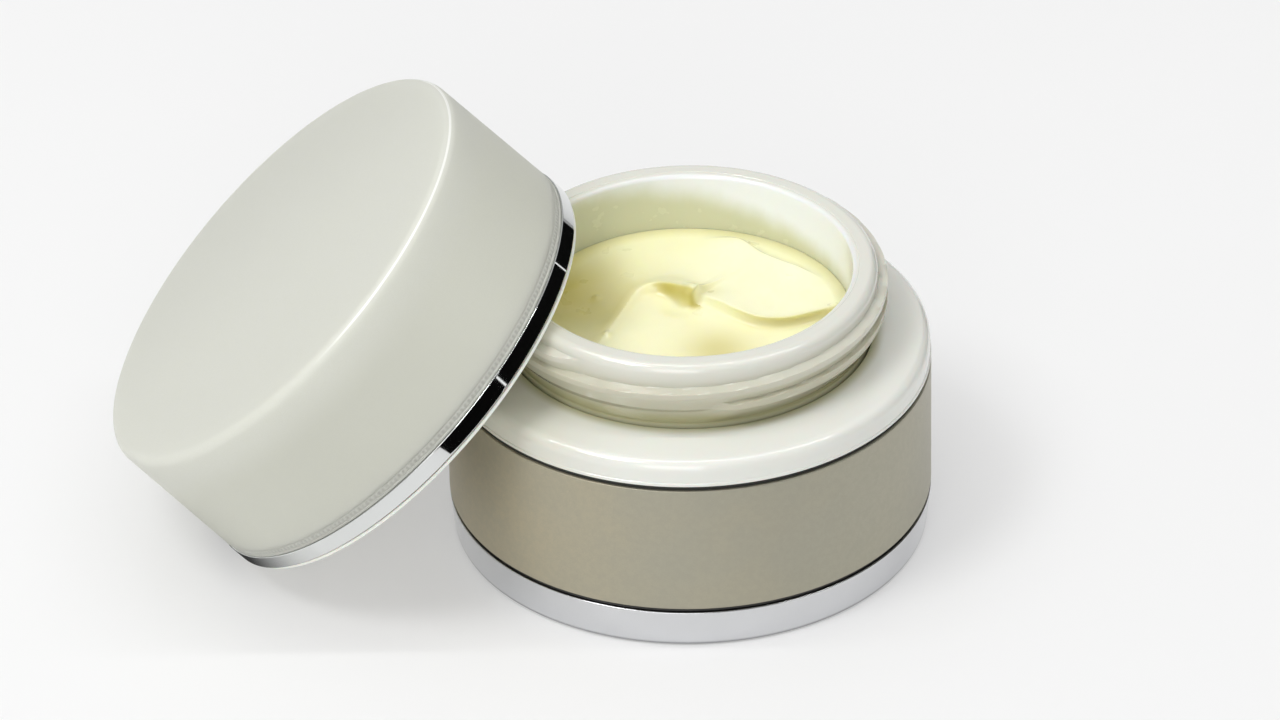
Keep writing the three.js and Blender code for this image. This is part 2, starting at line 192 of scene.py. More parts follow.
class Finishes(bpy.types.PropertyGroup):
    black: colour("Black plastic", "Carrier and base plug", (24, 23, 20))
    plated: colour("Plated base", "Plating of the base ring", (217, 218, 220))
    satin: colour("Satin metal", "Metal sleeve", (168, 165, 149))
    # Painted reflection: besides random warm patches, this warm tone is the painted reflection on the
    # sleeve's left.
    satin_patches_and_reflection: colour("Satin metal, warm", "Warmer patches of the sleeve", (188, 176, 146))
    white: colour("White plastic", "Cup and shoulder", (228, 229, 222))
    white_inside: colour("White plastic, inside", "Wall of the cup above the cream", (240, 243, 248))
    # Painted shade: this tone stands in for shade on the neck and for the lid's shadow on the left.
    neck: colour("White plastic, neck", "Neck, which the cream behind it warms", (187, 184, 162))
    crevice: colour("Crevice", "Shaded foot of the neck, warmed by the cream behind it", (168, 165, 122))
    film: colour("Cream film", "Thin cream left on the cup's wall", (198, 199, 160))
    cream: colour("Cream", "Cream where it is thick", (255, 253, 212))
    # Painted shade: the cream's colour in its shaded hollows, folds and low parts.
    cream_shade: colour("Cream, deep", "Cream in its hollows", (204, 192, 100))
    acrylic: colour("Frosted acrylic", "Overcap", (209, 210, 202))
    acrylic_hollow: colour("Frosted acrylic, hollow", "Overcap where it is hollow behind", (209, 210, 197))
    # Painted highlight along the crown's edge.
    acrylic_edge: colour("Frosted acrylic, edge", "Crown's edge, which catches the light", (240, 241, 235))
    trim: colour("Plated trim", "Ring round the lid", (223, 225, 224))
    pale: colour("Pale plastic", "Inner cap", (253, 253, 243))
    foam: colour("Liner foam", "Liner wad", (243, 243, 238))
    floor: colour("Floor", "Table that the jar stands on", (194, 194, 194))


class StudioSettings(bpy.types.PropertyGroup):
    azimuth: angle("Azimuth", "Camera round the jar", 0.70)
    elevation: angle("Elevation", "Camera over the table", 33.23)
    roll: angle("Roll", "Camera about its own axis", -0.95)
    distance: size("Distance", "Camera from the jar's foot", 1517.6)
    aim_side: size("Aim sideways", "How far the view's middle stands right of the jar", -6.64)
    aim_up: size("Aim up", "How far the view's middle stands over the jar's foot", 20.72)
    lens: FloatProperty(name="Lens", description="Focal length", default=310.8)


SETTINGS = {
    "cream_jar_body": JarSizes,
    "cream_jar_cup": CupSizes,
    "cream_jar_thread": ThreadSizes,
    "cream_jar_cream": CreamSizes,
    "cream_jar_lid": LidSizes,
    "cream_jar_finishes": Finishes,
    "cream_jar_studio": StudioSettings,
}


# ---- Outlines and surfaces --------------------------------------------------------------------


def rounded(corners, spacing=1.0, steps=7):
    """An outline through (radius, height, round) corners. Each corner with a round is an arc that is tangent
    to both sides: its centre lies on the corner's bisector, and its points turn evenly from side to side.
    Straight runs are then cut into equal steps that are no longer than `spacing` millimetres."""
    corners = [tuple(corner) + (0.0,) * (3 - len(corner)) for corner in corners]
    points = np.array([corner[:2] for corner in corners])
    pieces = []
    for i, (_, _, radius) in enumerate(corners):
        if radius <= 0:
            pieces.append(points[i : i + 1])
            continue
        back = points[i - 1] - points[i]
        ahead = points[(i + 1) % len(points)] - points[i]
        back, ahead = back / np.hypot(*back), ahead / np.hypot(*ahead)
        half = math.acos(np.clip(back @ ahead, -1, 1)) / 2
        bisector = (back + ahead) / np.hypot(*(back + ahead))
        centre = points[i] + bisector * radius / math.sin(half)
        reach = radius / math.tan(half)
        start, end = points[i] + back * reach - centre, points[i] + ahead * reach - centre
        sweep = math.pi - 2 * half
        turn = np.linspace(0, sweep, steps)[:, None]
        pieces.append(centre + (np.sin(sweep - turn) * start + np.sin(turn) * end) / math.sin(sweep))
    return stepped(np.vstack(pieces), spacing * MM)


def stepped(outline, spacing):
    """The same outline with each run cut into equal steps, no longer than `spacing`."""
    runs = np.hypot(*np.diff(outline, axis=0).T)
    counts = np.maximum(1, np.ceil(runs / spacing).astype(int))
    before = np.repeat(np.cumsum(counts) - counts, counts)
    share = (np.arange(counts.sum()) - before) / np.repeat(counts, counts)
    starts = np.repeat(outline[:-1], counts, axis=0)
    steps = np.repeat(np.diff(outline, axis=0), counts, axis=0)
    return np.vstack([starts + steps * share[:, None], outline[-1:]])


def smoothstep(value, low, high):
    """0 below `low`, 1 above `high`, and 3 t^2 - 2 t^3 between them."""
    t = np.clip((value - low) / (high - low), 0, 1)
    return t * t * (3 - 2 * t)


def turned(name, outline, segments=360, closed=False, shape=None, matrix=None, shade=None, crisp=True):
    """Turns an outline, anticlockwise with the axis on its left, round the Z axis: x is radius times the
    cosine of the angle, y is radius times its sine. `shape` may move (x, y, z) as whole arrays. An outline
    that starts or ends on the axis is closed there by one point and a fan; a closed one joins on itself.
    `shade` gives every point a number that the material may read as the attribute "shade"."""
    radius, height = outline.T
    angle = np.linspace(0, 2 * math.pi, segments, endpoint=False)[:, None]
    x, y = radius * np.cos(angle), radius * np.sin(angle)
    z = np.broadcast_to(height, x.shape)
    tint = shade(x, y, z).ravel() if shade else None
    if shape:
        x, y, z = shape(x, y, z)
    points = np.stack([x, y, z], axis=-1)
    count = len(outline)
    index = np.arange(segments * count).reshape(segments, count)
    tips = [] if closed else [column for column in (0, count - 1) if abs(radius[column]) < 1e-9]
    for column in tips:
        points[:, column] = points[:, column].mean(axis=0)
        index[:, column] = index[0, column]
    beside = np.roll(index, -1, axis=0)
    above = np.roll(index, -1, axis=1)
    corner = np.roll(beside, -1, axis=1)
    quads = np.stack([index, beside, corner, above], axis=-1)
    if not closed:
        quads = quads[:, :-1]
    quads = quads.reshape(-1, 4)
    low_tip = quads[:, 0] == quads[:, 1]
    high_tip = quads[:, 2] == quads[:, 3]
    fans = np.vstack([quads[low_tip][:, [0, 2, 3]], quads[high_tip][:, [0, 1, 2]]])
    quads = quads[~(low_tip | high_tip)]
    return surface(name, points.reshape(-1, 3), quads, fans, matrix, tint, crisp)


def surface(name, points, quads, fans, matrix=None, tint=None, crisp=True):
    """Makes a mesh object from points, four-sided and three-sided faces. Unused points are dropped. `tint` is
    a number for each point, and `crisp` keeps sharp the edges that turn by more than 38 degrees."""
    if matrix is not None:
        turn = np.array(matrix)
        points = points @ turn[:3, :3].T + turn[:3, 3]
    used, corners = np.unique(np.concatenate([quads.ravel(), fans.ravel()]), return_inverse=True)
    points = points[used]
    sides = np.concatenate([np.full(len(quads), 4), np.full(len(fans), 3)])
    mesh = bpy.data.meshes.new(name)
    mesh.vertices.add(len(points))
    mesh.vertices.foreach_set("co", points.astype(np.float32).ravel())
    mesh.loops.add(len(corners))
    mesh.loops.foreach_set("vertex_index", corners.astype(np.int32))
    mesh.polygons.add(len(sides))
    mesh.polygons.foreach_set("loop_start", (np.cumsum(sides) - sides).astype(np.int32))
    mesh.update(calc_edges=True)
    mesh.validate()
    mesh.shade_smooth()
    if crisp:
        mesh.set_sharp_from_angle(angle=math.radians(38))
    if tint is not None:
        shade = mesh.attributes.new("shade", "FLOAT", "POINT")
        shade.data.foreach_set("value", tint[used].astype(np.float32))
    piece = bpy.data.objects.new(name, mesh)
    bpy.context.scene.collection.objects.link(piece)
    return piece


def ridges(angle, below, thread):
    """Height of a thread's ridges over their wall, at an angle and a depth below their upper end. Each ridge
    falls by one lead per turn. Down across it the height rises on a short smooth flank to a crest and falls
    on a long straight one, and it fades out over a share of a turn at both ends."""
    height = np.zeros(np.broadcast(angle, below).shape)
    for start in range(thread.starts):
        turns = (thread.end - angle) / (2 * math.pi) + start / thread.starts
        left = turns - np.floor(turns)
        down = below - thread.lead * left
        crest_end = thread.upper_flank + thread.crest
        flank = smoothstep(down, 0, thread.upper_flank)
        flank = flank * np.clip(1 - (down - crest_end) / thread.lower_flank, 0, 1)
        start_fade = smoothstep(left, 0, thread.fade)
        end_fade = 1 - smoothstep(left, thread.turns - thread.fade, thread.turns)
        height = np.maximum(height, thread.depth * flank * start_fade * end_fade)
    return height


def threaded(on_wall, top, outward, thread):
    """A shape that raises the ridges on a wall: outward on the neck, inward in the cap. `on_wall` tells from
    radius and height which points are on it."""

    def shape(x, y, z):
        radius = np.hypot(x, y)
        raised = ridges(np.arctan2(y, x), top - z, thread) * on_wall(radius, z) * outward
        grown = 1 + raised / np.maximum(radius, MM)
        return x * grown, y * grown, z

    return shape


def lid_matrix():
    """From the lid's own frame, with its open edge at 0 and its crown up, to where it leans."""
    side = Vector((LID_AXIS.z, 0, -LID_AXIS.x))
    across = LID_AXIS.cross(side)
    return Matrix.Translation(LID_PLACE) @ Matrix((side, across, LID_AXIS)).transposed().to_4x4()


def build(name, outline, body, slot, material, node, **options):
    """Turns an outline into a piece, gives it its material and its body, and hides the CAD node that it
    stands for. `slot` is not used. A piece of the lid is made upright and then leant with the lid."""
    piece = turned(name, outline, matrix=None if body == JAR else lid_matrix(), **options)
    piece.data.materials.append(material)
    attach(piece, body)
    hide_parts(node)


# ---- Materials --------------------------------------------------------------------------------


class Value:
    """A number or vector that varies over a surface. Arithmetic on a number adds Math nodes."""

    def __init__(self, finish, socket):
        self.finish = finish
        self.socket = socket

    def math(self, operation, *operands):
        return self.finish.add("ShaderNodeMath", {"operation": operation}, dict(enumerate(operands)))

    def __add__(self, other):
        return self.math("ADD", self, other)

    def __sub__(self, other):
        return self.math("SUBTRACT", self, other)

    def __rsub__(self, other):
        return self.math("SUBTRACT", other, self)

    def __mul__(self, other):
        return self.math("MULTIPLY", self, other)

    __radd__ = __add__
    __rmul__ = __mul__


class Nodes:
    """A node tree being made, and the steps that every material takes."""

    def __init__(self, tree):
        self.tree = tree

    def add(self, kind, settings, inputs, output=0):
        """Adds a node. Its settings are set first, then its sockets take their values or links."""
        node = self.tree.nodes.new(kind)
        for key, value in settings.items():
            setattr(node, key, value)
        for key, value in inputs.items():
            if isinstance(value, Value):
                self.tree.links.new(value.socket, node.inputs[key])
            else:
                node.inputs[key].default_value = value
        return None if output is None else Value(self, node.outputs[output])

    def part(self, vector, axis):
        return self.add("ShaderNodeSeparateXYZ", {}, {0: vector}, axis)

    def stretched(self, vector, factors):
        return self.add("ShaderNodeVectorMath", {"operation": "MULTIPLY"}, {0: vector, 1: factors})

    def flat_way(self, vector):
        """Which way a vector points from above, as a vector of length 1."""
        flat = {0: self.stretched(vector, (1, 1, 0))}
        return self.add("ShaderNodeVectorMath", {"operation": "NORMALIZE"}, flat)

    def step(self, value, low, high, bottom=0.0, top=1.0):
        """From `bottom` to `top` as value goes smoothly from low to high."""
        inputs = {"Value": value, "From Min": low, "From Max": high, "To Min": bottom, "To Max": top}
        return self.add("ShaderNodeMapRange", {"interpolation_type": "SMOOTHSTEP"}, inputs)

    def mix(self, a, b, factor):
        """Colour a where factor is 0 and b where it is 1."""
        a, b = (value if isinstance(value, Value) else (*value, 1) for value in (a, b))
        return self.add("ShaderNodeMix", {"data_type": "RGBA"}, {0: factor, 6: a, 7: b}, 2)


class Finish(Nodes):
    """A material being made: its nodes, the shader that they feed, and `here`, the place on the object. For a
    piece of the lid that place is turned and moved into the lid's own frame."""

    def __init__(self, name, constants, in_lid=False):
        self.material = bpy.data.materials.new(name)
        self.material.use_nodes = True
        super().__init__(self.material.node_tree)
        self.shader = self.tree.nodes["Principled BSDF"]
        for socket, value in constants.items():
            self.shader.inputs[socket].default_value = value
        self.here = self.add("ShaderNodeTexCoord", {}, {}, "Object")
        if in_lid:
            turn = {"Vector": self.here, "Location": LID_PLACE, "Rotation": (0, LID_LEAN, 0)}
            self.here = self.add("ShaderNodeMapping", {"vector_type": "TEXTURE"}, turn)

    def noise(self, grain, detail=3.0, here=None):
        """Noise from 0 to 1 whose features are `grain` millimetres across."""
        inputs = {"Vector": here or self.here, "Scale": 1 / (grain * MM), "Detail": detail}
        return self.add("ShaderNodeTexNoise", {}, inputs, "Fac")

    def radius(self):
        """Distance from the Z axis."""
        flat = self.stretched(self.here, (1, 1, 0))
        return self.add("ShaderNodeVectorMath", {"operation": "LENGTH"}, {0: flat}, "Value")

    def along(self, axis, low, high, bottom=0.0, top=1.0):
        """A step along the X, Y or Z axis, which is 0, 1 or 2."""
        return self.step(self.part(self.here, axis), low, high, bottom, top)

    def painted(self):
        """The painted shade that the mesh carries at each point, as the attribute "shade"."""
        return self.add("ShaderNodeAttribute", {"attribute_name": "shade"}, {}, "Fac")

    def feed(self, socket, value):
        self.tree.links.new(value.socket, self.shader.inputs[socket])

    def done(self, shade, roughness, height, distance, strength):
        """Feeds the shader its colour, its roughness and a bump `distance` millimetres high."""
        self.feed("Base Color", shade)
        self.feed("Roughness", roughness)
        inputs = {"Height": height, "Distance": distance * MM, "Strength": strength}
        self.feed("Normal", self.add("ShaderNodeBump", {}, inputs))
        return self.material


def scaled(shade, factor):
    """A colour made darker by a factor under 1, or lighter by one over 1."""
    return tuple(channel * factor for channel in shade)


def black_plastic(colours):
    """Moulded black plastic: fine matt grain, a little greyer where it is rubbed."""
    finish = Finish("black_plastic", {"Coat Weight": 0.1})
    shade = finish.mix(colours.black, scaled(colours.black, 1.9), finish.noise(6.0))
    return finish.done(shade, 0.34 + finish.noise(1.2) * 0.22, finish.noise(0.18), 0.02, 0.5)


def plated(name, shade, in_lid, roughness):
    """Mirror plating: faint hazy patches and the slightest waviness. On the jar's ring a painted contact
    shadow darkens the foot.
    """
    finish = Finish(name, {"Metallic": 1.0}, in_lid)
    haze = finish.noise(9.0)
    plain = finish.mix(shade, scaled(shade, 0.93), haze)
    # Painted contact shadow along the foot of the jar's ring.
    if not in_lid:
        plain = finish.mix(plain, scaled(shade, 0.25), finish.along(2, 0.0001, 0.0006, 0.75, 0.0))
    dulled = roughness + finish.step(haze, 0.45, 0.8) * roughness * 0.8
    return finish.done(plain, dulled, finish.noise(5.0, 1.0), 0.012, 0.35)


def satin_metal(colours):
    """Satin sheet: cloudy, with warm patches, a painted warm reflection on the left, painted light on the
    right and faint blotches, with a fine grain drawn out round the sleeve."""
    finish = Finish("satin_metal", {"Metallic": 0.65, "Specular IOR Level": 0.4})
    # Warm random patches, plus a warm painted reflection that fills the sleeve's left.
    warm = finish.step(finish.noise(11.0), 0.35, 0.75) * 0.25 + finish.along(0, -0.034, 0.004, 0.75, 0.0)
    shade = finish.mix(colours.satin, colours.satin_patches_and_reflection, warm)
    # Painted light: the sleeve is lighter towards its right.
    shade = finish.mix(shade, scaled(colours.satin, 1.25), finish.along(0, 0.010, 0.030, 0.0, 0.5))
    blotch = finish.step(finish.noise(0.9, 4.0), 0.35, 0.65, 0.0, 0.22)
    shade = finish.mix(shade, scaled(colours.satin, 0.86), blotch)
    grain = finish.noise(0.16, 4.0, finish.stretched(finish.here, (1, 1, 1.6)))
    shade = finish.mix(scaled(colours.satin, 0.88), shade, finish.step(grain, 0.3, 0.7, 0.55, 1.0))
    return finish.done(shade, 0.36 + grain * 0.14, grain, 0.02, 0.6)


def white_plastic(colours, cup, fill_level):
    """Glossy white plastic with painted shade: a warm painted shadow of the lid on the left, painted shade
    down the neck towards its foot and most of it in the crevice there. Inside the cup a thin film of cream
    tints the wall above the fill, lower on the right."""
    constants = {
        "Subsurface Weight": 0.12,
        "Subsurface Scale": 0.001,
        "Coat Weight": 0.5,
        "Coat Roughness": 0.03,
    }
    finish = Finish("white_plastic", constants)
    height, radius = finish.part(finish.here, 2), finish.radius()
    neck, mouth, wall = SHOULDER_HIGH.z, cup.mouth_radius, cup.neck_radius
    inside = finish.step(radius, mouth - 0.0001, mouth + 0.0007, 1.0, 0.0)
    wipe = finish.noise(4.0, here=finish.stretched(finish.here, (1, 1, 0.6)))
    edge = height + (wipe - 0.5) * 0.002 + finish.part(finish.here, 0) * 0.2
    film = inside * finish.step(edge, fill_level + cup.film_low, fill_level + cup.film_high, 1.0, 0.0)
    shade = finish.mix(colours.white, scaled(colours.white, 0.96), finish.noise(14.0))
    # Painted shadow of the lid, warm, on the left of the shoulder and the cup.
    shade = finish.mix(shade, colours.neck, finish.along(0, -0.027, -0.006, 0.55, 0.0))
    # Painted shade on the neck: full on its lower part, faint near the rim.
    on_neck = finish.step(height, neck + 0.0002, neck + 0.0006)
    down = finish.step(height, neck + 0.0045, neck + 0.0101, 1.0, 0.2)
    shade = finish.mix(shade, colours.neck, on_neck * down)
    # Painted shade in the crevice at the neck's foot, under the thread.
    low = finish.step(height, neck + 0.0012, neck + 0.0034, 0.8, 0.0)
    deep = finish.step(radius, wall - 0.0006, wall + 0.0012, 1.0, 0.0)
    shade = finish.mix(shade, colours.crevice, low * deep)
    shade = finish.mix(shade, colours.white_inside, inside)
    shade = finish.mix(shade, colours.film, film * 0.85)
    roughness = 0.08 + finish.noise(2.2) * 0.07 + film * 0.15
    return finish.done(shade, roughness, finish.noise(1.6, 2.0) + film * wipe * 0.3, 0.02, 0.12)


def cream_finish(colours, level):
    """Thick glossy cream: cloudy, with a soft wavy skin, and painted shade in deeper yellow where it is low
    and in its folds and hollows.
    """
    constants = {
        "Subsurface Weight": 0.35,
        "Subsurface Scale": 0.0025,
        "Subsurface Radius": (1.0, 0.85, 0.4),
        "Coat Weight": 0.7,
        "Coat Roughness": 0.04,
    }
    finish = Finish("cream", constants)
    cloud = finish.noise(5.0)
    # Painted shade: deeper yellow lower down; the cloud takes off a random share.
    pale = finish.along(2, level - 0.0030, level - 0.0002, 0.8, 1.0) - cloud * 0.12
    shade = finish.mix(colours.cream_shade, colours.cream, pale)
    # Painted shade from the mesh, in the folds and hollows.
    shade = finish.mix(shade, colours.cream_shade, finish.painted())
    return finish.done(shade, 0.22 + cloud * 0.16, finish.noise(2.2, 1.0), 0.1, 0.25)


def frosted_acrylic(colours, lid):
    """Frosted acrylic: milky, softly glossy, a shade greyer where the shell is hollow behind its skin.
    Painted shade darkens the crown to its far side, the wall to its near side and the gaps between teeth; a
    painted highlight runs as a fine bright line along the crown's edge."""
    constants = {"Subsurface Weight": 0.45, "Subsurface Scale": 0.006, "Subsurface Radius": (1.0, 1.0, 0.9)}
    finish = Finish("frosted_acrylic", constants, in_lid=True)
    height = finish.part(finish.here, 2)
    grey = colours.acrylic_hollow
    hollow = finish.step(height, lid.ceiling - 0.003, lid.ceiling + 0.003, 1.0, 0.0)
    shade = finish.mix(colours.acrylic, grey, hollow * 0.7 + finish.noise(18.0) * 0.3)
    # Painted shade on the crown's far side.
    far = finish.along(1, -0.012, 0.034, 0.0, 0.55) * (1 - hollow)
    shade = finish.mix(shade, scaled(colours.acrylic, 0.8), far)
    # Painted shade on the wall's near side.
    near = finish.along(1, -0.034, -0.020, 0.6, 0.0) * hollow
    shade = finish.mix(shade, scaled(grey, 0.8), near)
    speck = finish.step(finish.noise(0.12, 2.0), 0.35, 0.7, 0.6, 1.0)
    shade = finish.mix(scaled(grey, 0.93), shade, speck)
    # Painted shade between the teeth, from the mesh.
    shade = finish.mix(shade, scaled(grey, 0.5), finish.painted())
    # Painted highlight: a fine bright line along the crown's edge, on its right.
    line = lid.shell_height - lid.crown_edge * 0.3
    above = finish.step(height, line - 0.0002, line - 0.00008)
    below = finish.step(height, line, line + CRISP, 1.0, 0.0)
    right = finish.along(0, 0.006, 0.018)
    edge_highlight = above * below * finish.step(finish.radius(), 0.030, 0.031) * right
    shade = finish.mix(shade, colours.acrylic_edge, edge_highlight)
    roughness = (0.46 + finish.noise(0.5) * 0.12) * (1 - edge_highlight * 0.5)
    return finish.done(shade, roughness, finish.noise(0.14, 2.0), 0.012, 0.5)


def pale_plastic(colours):
    """Pale moulded plastic with flow clouds and a fine sheen."""
    finish = Finish("pale_plastic", {"Subsurface Weight": 0.2, "Subsurface Scale": 0.002}, in_lid=True)
    shade = finish.mix(colours.pale, scaled(colours.pale, 0.9), finish.noise(7.0))
    return finish.done(shade, 0.3 + finish.noise(1.5) * 0.15, finish.noise(0.5), 0.015, 0.4)


def liner_foam(colours):
    """Closed-cell foam: pinhole cells all over a matt white face."""
    finish = Finish("liner_foam", {}, in_lid=True)
    cells = {"Vector": finish.here, "Scale": 1 / (0.35 * MM)}
    pit = finish.step(finish.add("ShaderNodeTexVoronoi", {}, cells, "Distance"), 0.1, 0.5)
    shade = finish.mix(scaled(colours.foam, 0.86), colours.foam, pit)
    return finish.done(shade, 0.75 - pit * 0.15, pit, 0.05, 0.5)


# ---- Operators --------------------------------------------------------------------------------


class JarPiece:
    """What the operators share: each is one undo step."""

    bl_options = {"REGISTER", "UNDO"}


class BuildBase(JarPiece, bpy.types.Operator):
    """Build the plated base ring and the black plug that carries it"""

    bl_idname = "cream_jar.build_base"
    bl_label = "Base"

    def execute(self, context):
        jar, colours = context.scene.cream_jar_body, context.scene.cream_jar_finishes
        foot = jar.radius - jar.base_taper
        inner = foot - jar.base_wall
        low, high = BASE_LOW.z, BASE_HIGH.z
        ring = [
            (inner, low, EDGE),
            (foot, low, 0.0003),
            (jar.radius, high, CRISP),
            (inner, high, EDGE),
            (inner, low + 0.0003, 0),
        ]
        metal = plated("plated_base", colours.plated, False, 0.14)
        build("plated_base_ring", rounded(ring, 0.5), JAR, "plated_base", metal, "base_ring", closed=True)
        outer = inner - jar.fit
        bore = outer - jar.plug_wall
        lip = PLUG_HIGH.z - 0.0005
        near, far = jar.groove_radius - 0.0004, jar.groove_radius + 0.0004
        plug = [
            (0, PLUG_LOW.z),
            (near, PLUG_LOW.z, 0.0001),
            (jar.groove_radius, PLUG_LOW.z + jar.groove_depth, 0.00015),
            (far, PLUG_LOW.z, 0.0001),
            (outer, PLUG_LOW.z, 0.00025),
            (outer, lip),
            (jar.lip_radius, lip, 0.00008),
            (jar.lip_radius, PLUG_HIGH.z, CRISP),
            (bore, PLUG_HIGH.z, EDGE),
            (bore, jar.plug_floor, 0.0006),
            (0, jar.plug_floor),
        ]
        build("black_base_plug", rounded(plug), JAR, "black_plastic", black_plastic(colours), "base_plug")
        return {"FINISHED"}


class BuildSleeve(JarPiece, bpy.types.Operator):
    """Build the black carrier and the satin metal sleeve on it"""

    bl_idname = "cream_jar.build_sleeve"
    bl_label = "Carrier and sleeve"

    def execute(self, context):
        jar, colours = context.scene.cream_jar_body, context.scene.cream_jar_finishes
        bore = jar.radius - jar.sleeve_wall
        outer = bore - jar.fit
        inner = outer - jar.carrier_wall
        lip = CARRIER_HIGH.z - jar.lip_height
        tube = [
            (inner, CARRIER_LOW.z, EDGE),
            (outer, CARRIER_LOW.z, EDGE),
            (outer, lip),
            (jar.lip_radius, lip, 0.00008),
            (jar.lip_radius, CARRIER_HIGH.z, CRISP),
            (inner, CARRIER_HIGH.z, EDGE),
            (inner, CARRIER_LOW.z + 0.0003, 0),
        ]
        black = bpy.data.materials["black_plastic"]
        build("black_carrier", rounded(tube), JAR, "black_plastic", black, "carrier", closed=True)
        low, high = SLEEVE_LOW.z - 0.00006, SLEEVE_HIGH.z + 0.00008
        skin = [
            (bore, low, 0.0001),
            (jar.radius, low, jar.sleeve_hem),
            (jar.radius, high, jar.sleeve_hem),
            (bore, high, 0.0001),
            (bore, low + 0.0003, 0),
        ]
        skin, satin = rounded(skin, 0.6), satin_metal(colours)
        build("satin_metal_sleeve", skin, JAR, "satin_metal", satin, "metal_sleeve", closed=True)
        return {"FINISHED"}


class BuildCup(JarPiece, bpy.types.Operator):
    """Build the white cup with its threaded neck, and the white shoulder round it"""

    bl_idname = "cream_jar.build_cup"
    bl_label = "Cup and shoulder"

    def execute(self, context):
        scene = context.scene
        jar, cup, thread = scene.cream_jar_body, scene.cream_jar_cup, scene.cream_jar_thread
        fill = CUP_HIGH.z - scene.cream_jar_cream.fill
        white = white_plastic(scene.cream_jar_finishes, cup, fill)
        relief = cup.neck_radius - cup.undercut
        spigot = jar.radius - jar.sleeve_wall - 2 * jar.fit - jar.carrier_wall
        bead = SLEEVE_HIGH.z + 0.0008 + jar.bead_height
        low, top = bead - jar.bead_height, SHOULDER_HIGH.z
        wall = jar.radius - jar.bead_step
        collar = [
            (spigot - jar.shoulder_wall, SHOULDER_LOW.z, EDGE),
            (spigot, SHOULDER_LOW.z, EDGE),
            (spigot, low, EDGE),
            (jar.radius, low, 0.0001),
            (jar.radius, bead, CRISP),
            (wall, bead + 0.0001, 0.0001),
            (wall, top - jar.shoulder_rise, jar.shoulder_edge),
            (relief + jar.fit, top, 0.00015),
            (relief + jar.fit, top - jar.shoulder_wall, 0.0003),
            (spigot - jar.shoulder_wall, top - jar.shoulder_rise - jar.shoulder_wall - 0.0005, 0.0005),
            (spigot - jar.shoulder_wall, SHOULDER_LOW.z + 0.0004, 0),
        ]
        collar = rounded(collar, 0.5, 10)
        build("white_shoulder", collar, JAR, "white_plastic", white, "shoulder_collar", closed=True)
        rim, base = CUP_HIGH.z, CUP_LOW.z
        foot = cup.mouth_radius - cup.draft + cup.wall
        step = rim - 0.00012
        outside = [
            (0, base),
            (foot, base, cup.corner),
            (cup.mouth_radius + cup.wall, top - 0.006, 0.001),
            (relief, top - 0.004, 0.001),
            (relief, top),
        ]
        neck = [
            (relief, top + 0.0001),
            (relief, top + 0.0006, 0.0008),
            (cup.neck_radius, top + cup.undercut_height + 0.001, 0.0008),
            (cup.neck_radius, rim, cup.rim_round),
            (cup.mouth_radius + 0.0013, rim),
        ]
        inside = [
            (cup.mouth_radius + 0.0012, rim),
            (cup.mouth_radius + 0.0009, rim, CRISP),
            (cup.mouth_radius + 0.0008, step, 0.00008),
            (cup.mouth_radius, step, cup.mouth_round - 0.0002),
            (cup.mouth_radius - cup.draft, base + cup.floor, cup.corner),
            (0, base + cup.floor),
        ]
        outline = np.vstack([rounded(outside, 1.0), rounded(neck, 0.14, 14), rounded(inside, 1.0, 12)])

        def on_wall(radius, height):
            return (radius > relief - MM / 100) & (height > top + 0.0002) & (height < rim - cup.rim_round)

        shape = threaded(on_wall, rim - thread.top, 1, thread)
        build("white_inner_cup", outline, JAR, "white_plastic", white, "inner_cup", shape=shape)
        return {"FINISHED"}


class BuildCream(JarPiece, bpy.types.Operator):
    """Build the cream with the curl and folds that a fingertip leaves"""

    bl_idname = "cream_jar.build_cream"
    bl_label = "Cream"

    def execute(self, context):
        scene = context.scene
        cup, cream = scene.cream_jar_cup, scene.cream_jar_cream
        floor = CUP_LOW.z + cup.floor + 0.0003
        fill = CUP_HIGH.z - cream.fill
        rise = (fill - floor) / (CUP_HIGH.z - floor)
        edge = cup.mouth_radius - cup.draft * (1 - rise) - 0.00001
        foot = cup.mouth_radius - cup.draft - 0.00001
        sides = rounded([(0, floor), (foot, floor, cup.corner), (edge, fill)], 2.0)
        top = stepped(np.array([(edge, fill), (0, fill)]), 0.16 * MM)[1:]
        outline = np.vstack([sides, top])

        def shape(x, y, z):
            on_top = np.broadcast_to(np.arange(len(outline)) >= len(sides) - 1, x.shape)
            return cream_top(x, y, z, on_top, edge, cream)

        # The painted shade of the cream goes on the mesh as the attribute "shade".
        options = {"segments": 512, "shape": shape, "shade": painted_cream_shade, "crisp": False}
        yellow = cream_finish(scene.cream_jar_finishes, fill + cream.crown)
        build("cream_fill", outline, JAR, "cream", yellow, "cream", **options)
        return {"FINISHED"}


def stroke(points):
    """A smooth line through a few points in millimetres: a Catmull-Rom curve of 400 points, in metres."""
    points = np.array(points) * MM
    ends = np.vstack([2 * points[0] - points[1], points, 2 * points[-1] - points[-2]])
    at = np.linspace(0, len(points) - 1, 400)
    cell = np.minimum(at.astype(int), len(points) - 2)
    t = (at - cell)[:, None]
    a, b, c, d = (ends[cell + shift] for shift in range(4))
    return 0.5 * (2 * b + (c - a) * t + (2 * a - 5 * b + 4 * c - d) * t**2 + (3 * b - a - 3 * c + d) * t**3)


